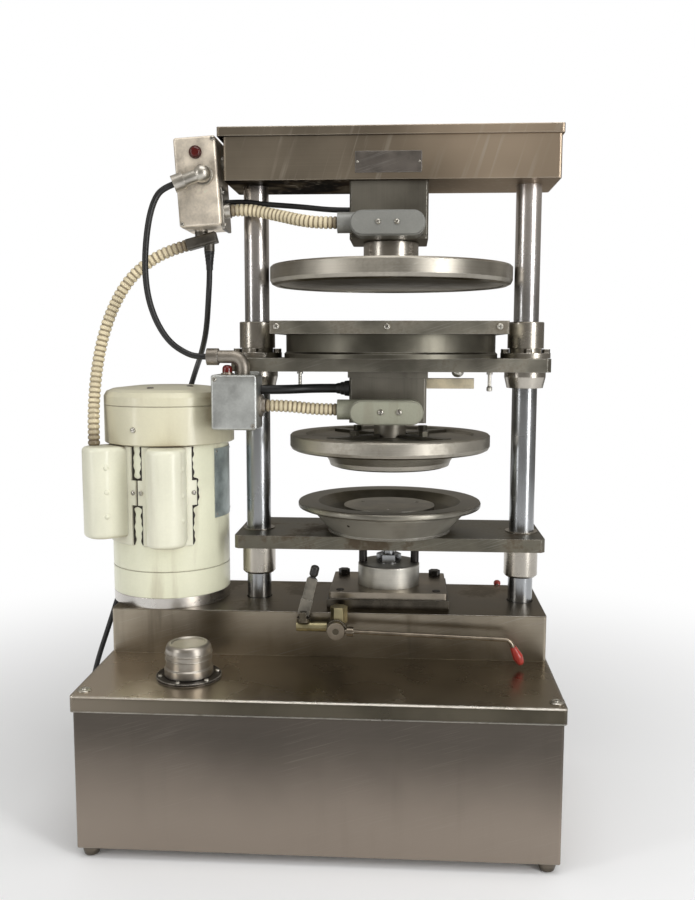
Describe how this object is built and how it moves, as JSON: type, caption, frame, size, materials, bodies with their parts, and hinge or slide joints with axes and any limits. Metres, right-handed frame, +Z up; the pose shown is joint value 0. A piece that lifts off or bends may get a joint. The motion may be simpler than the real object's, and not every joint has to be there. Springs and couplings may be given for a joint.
{
  "type": "hydraulic tart press",
  "caption": "Bench hydraulic press for tart shells: a ram lifts a mould and a sliding platen on posts against heated dies, over a steel oil cabinet with upright motor, filler and hand valve.",
  "frame": {"origin": "On the floor, under the middle of the whole press with its free mains cord left out.", "axes": "+Z points up along the guide posts, the operator stands on the -Y side, +X points to the right seen from the operator."},
  "size_m": [0.7872, 0.5248, 1.0163],
  "materials": {
    "stainless_sheet": "brushed stainless sheet, worn",
    "plate_steel": "ground plate with wear",
    "chromed_post": "hard chrome, polished",
    "turned_steel": "turned steel",
    "die_aluminium": "machined aluminium",
    "cast_aluminium": "rough cast aluminium",
    "grey_paint": "grey paint, worn",
    "pale_green_paint": "pale paint, worn",
    "cream_paint": "cream enamel",
    "conduit_plastic": "cream ribbed conduit",
    "cable_rubber": "black rubber",
    "lamp_red": "red lens",
    "brass": "dull brass",
    "valve_iron": "dark iron",
    "black_screw": "black oxide",
    "grip_red": "red vinyl dip",
    "probe_tan": "tan bar",
    "rotor_steel": "machined steel"
  },
  "bodies": {
    "frame": {"tank_cabinet": "stainless_sheet", "tank_lid": "stainless_sheet", "levelling_feet": "cable_rubber", "filler_neck": "die_aluminium", "step_housing": "stainless_sheet", "base_beam": "plate_steel", "guide_posts": "chromed_post", "post_stop_collars": "turned_steel", "crosshead_beam": "stainless_sheet", "crosshead_cap": "stainless_sheet", "hydraulic_cylinder": "plate_steel", "cylinder_gland": "turned_steel", "cylinder_screws": "black_screw", "motor_flange": "die_aluminium", "motor_shell": "cream_paint", "motor_fan_cowl": "cream_paint", "capacitor_covers": "cream_paint", "pump_housing": "valve_iron", "hydraulic_fittings": "brass", "control_valve": "valve_iron", "upper_heater_housing": "grey_paint", "upper_conduit_body": "grey_paint", "upper_die_collar": "turned_steel", "upper_die": "die_aluminium", "upper_conduit": "conduit_plastic", "upper_heater_lead": "cable_rubber", "upper_junction_box": "cast_aluminium", "upper_box_fittings": "cast_aluminium", "upper_pilot_lamp": "lamp_red", "motor_conduit": "conduit_plastic", "mains_cord": "cable_rubber", "mains_coil": "cable_rubber", "mains_plug": "cable_rubber", "loop_cable": "cable_rubber"},
    "middle_platen": {"middle_plate": "plate_steel", "middle_bearings": "turned_steel", "pressing_block": "die_aluminium", "pressing_plate": "plate_steel", "mid_heater_housing": "grey_paint", "mid_conduit_body": "pale_green_paint", "mid_die": "die_aluminium", "mid_die_clamps": "turned_steel", "mid_conduit": "conduit_plastic", "mid_heater_lead": "cable_rubber", "lower_junction_box": "cast_aluminium", "lower_box_fittings": "cast_aluminium", "lower_pilot_lamp": "lamp_red", "thermostat_probe": "probe_tan"},
    "lower_platen": {"lower_plate": "plate_steel", "lower_bearings": "turned_steel", "lower_mould": "die_aluminium", "ram": "turned_steel"},
    "ejector": {"mould_floor_disc": "die_aluminium"},
    "valve_lever": {"valve_lever_rod": "turned_steel", "valve_lever_grip": "grip_red"},
    "hand_lever": {"hand_lever": "valve_iron"},
    "filler_cap": {"filler_cap": "die_aluminium"},
    "motor_rotor": {"motor_rotor": "rotor_steel", "pump_drive_gear": "rotor_steel"},
    "pump_driven": {"pump_driven_gear": "rotor_steel"}
  },
  "joints": [
    {"name": "middle_lift", "type": "slide", "parent": "frame", "child": "middle_platen", "axis": [0, 0, 1], "range_m": [0, 0.05], "deforming": ["loop_cable"]},
    {"name": "lower_lift", "type": "slide", "parent": "middle_platen", "child": "lower_platen", "axis": [0, 0, 1], "range_m": [0, 0.0795]},
    {"name": "ejector_drop", "type": "slide", "parent": "lower_platen", "child": "ejector", "axis": [0, 0, -1], "range_m": [0, 0.021]},
    {"name": "valve_lever_turn", "type": "hinge", "parent": "frame", "child": "valve_lever", "pos_m": [0.03279, -0.0788, 0.282], "axis": [0, -1, 0], "range_deg": [0, 30]},
    {"name": "hand_lever_turn", "type": "hinge", "parent": "frame", "child": "hand_lever", "pos_m": [-0.01721, -0.0585, 0.3005], "axis": [0, -1, 0], "range_deg": [0, 40]},
    {"name": "filler_cap_lift", "type": "slide", "parent": "frame", "child": "filler_cap", "axis": [0, 0, 1], "range_m": [0, 0.06]},
    {"name": "motor_spin", "type": "hinge", "parent": "frame", "child": "motor_rotor", "pos_m": [-0.24121, 0.0465, 0.4], "axis": [0, 0, 1], "continuous": true},
    {"name": "pump_driven_spin", "type": "hinge", "parent": "frame", "child": "pump_driven", "pos_m": [-0.24121, 0.0065, 0.193], "axis": [0, 0, 1], "continuous": true}
  ],
  "couplings": [
    {"joint": "pump_driven_spin", "follows": "motor_spin", "ratio": -1},
    {"joint": "ejector_drop", "follows": "lower_lift", "ratio": 0.26415}
  ]
}
